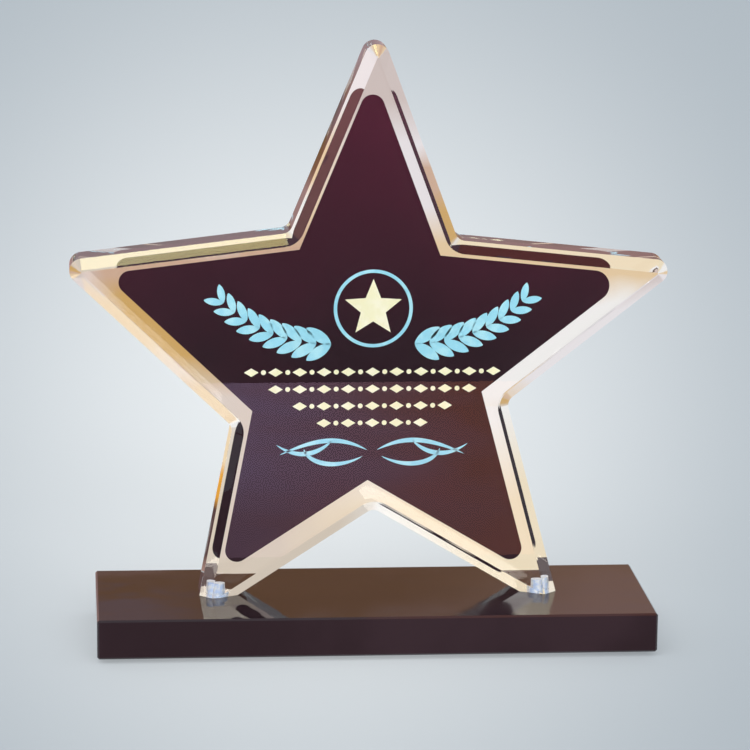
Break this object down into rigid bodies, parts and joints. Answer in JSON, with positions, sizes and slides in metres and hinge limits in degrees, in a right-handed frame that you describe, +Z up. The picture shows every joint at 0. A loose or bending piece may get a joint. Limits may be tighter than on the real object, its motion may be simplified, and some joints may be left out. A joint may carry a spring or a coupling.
{
  "type": "star trophy",
  "caption": "Free-standing award: a thick clear bevelled star with a dark print on its back, screwed upright to a black gloss slab.",
  "frame": {"origin": "on the table, under the middle of the whole trophy, 1.6 mm left of the middle of the slab", "axes": "+Z up, +X to the right when looking at the star's front, +Y from front to back"},
  "size_m": [0.1904, 0.06, 0.1925],
  "materials": {
    "clear_acrylic": "clear, polished",
    "dark_print": "printed film, seen through the star",
    "black_acrylic": "high gloss",
    "screw_steel": "zinc plated",
    "clear_rubber": "soft, satin"
  },
  "bodies": {
    "root": {"star_body": "clear_acrylic", "back_print": "dark_print", "base_block": "black_acrylic", "screw_left": "screw_steel", "screw_right": "screw_steel", "washer_left": "screw_steel", "washer_right": "screw_steel", "bumper_front_left": "clear_rubber", "bumper_front_right": "clear_rubber", "bumper_back_left": "clear_rubber", "bumper_back_right": "clear_rubber"}
  },
  "joints": []
}
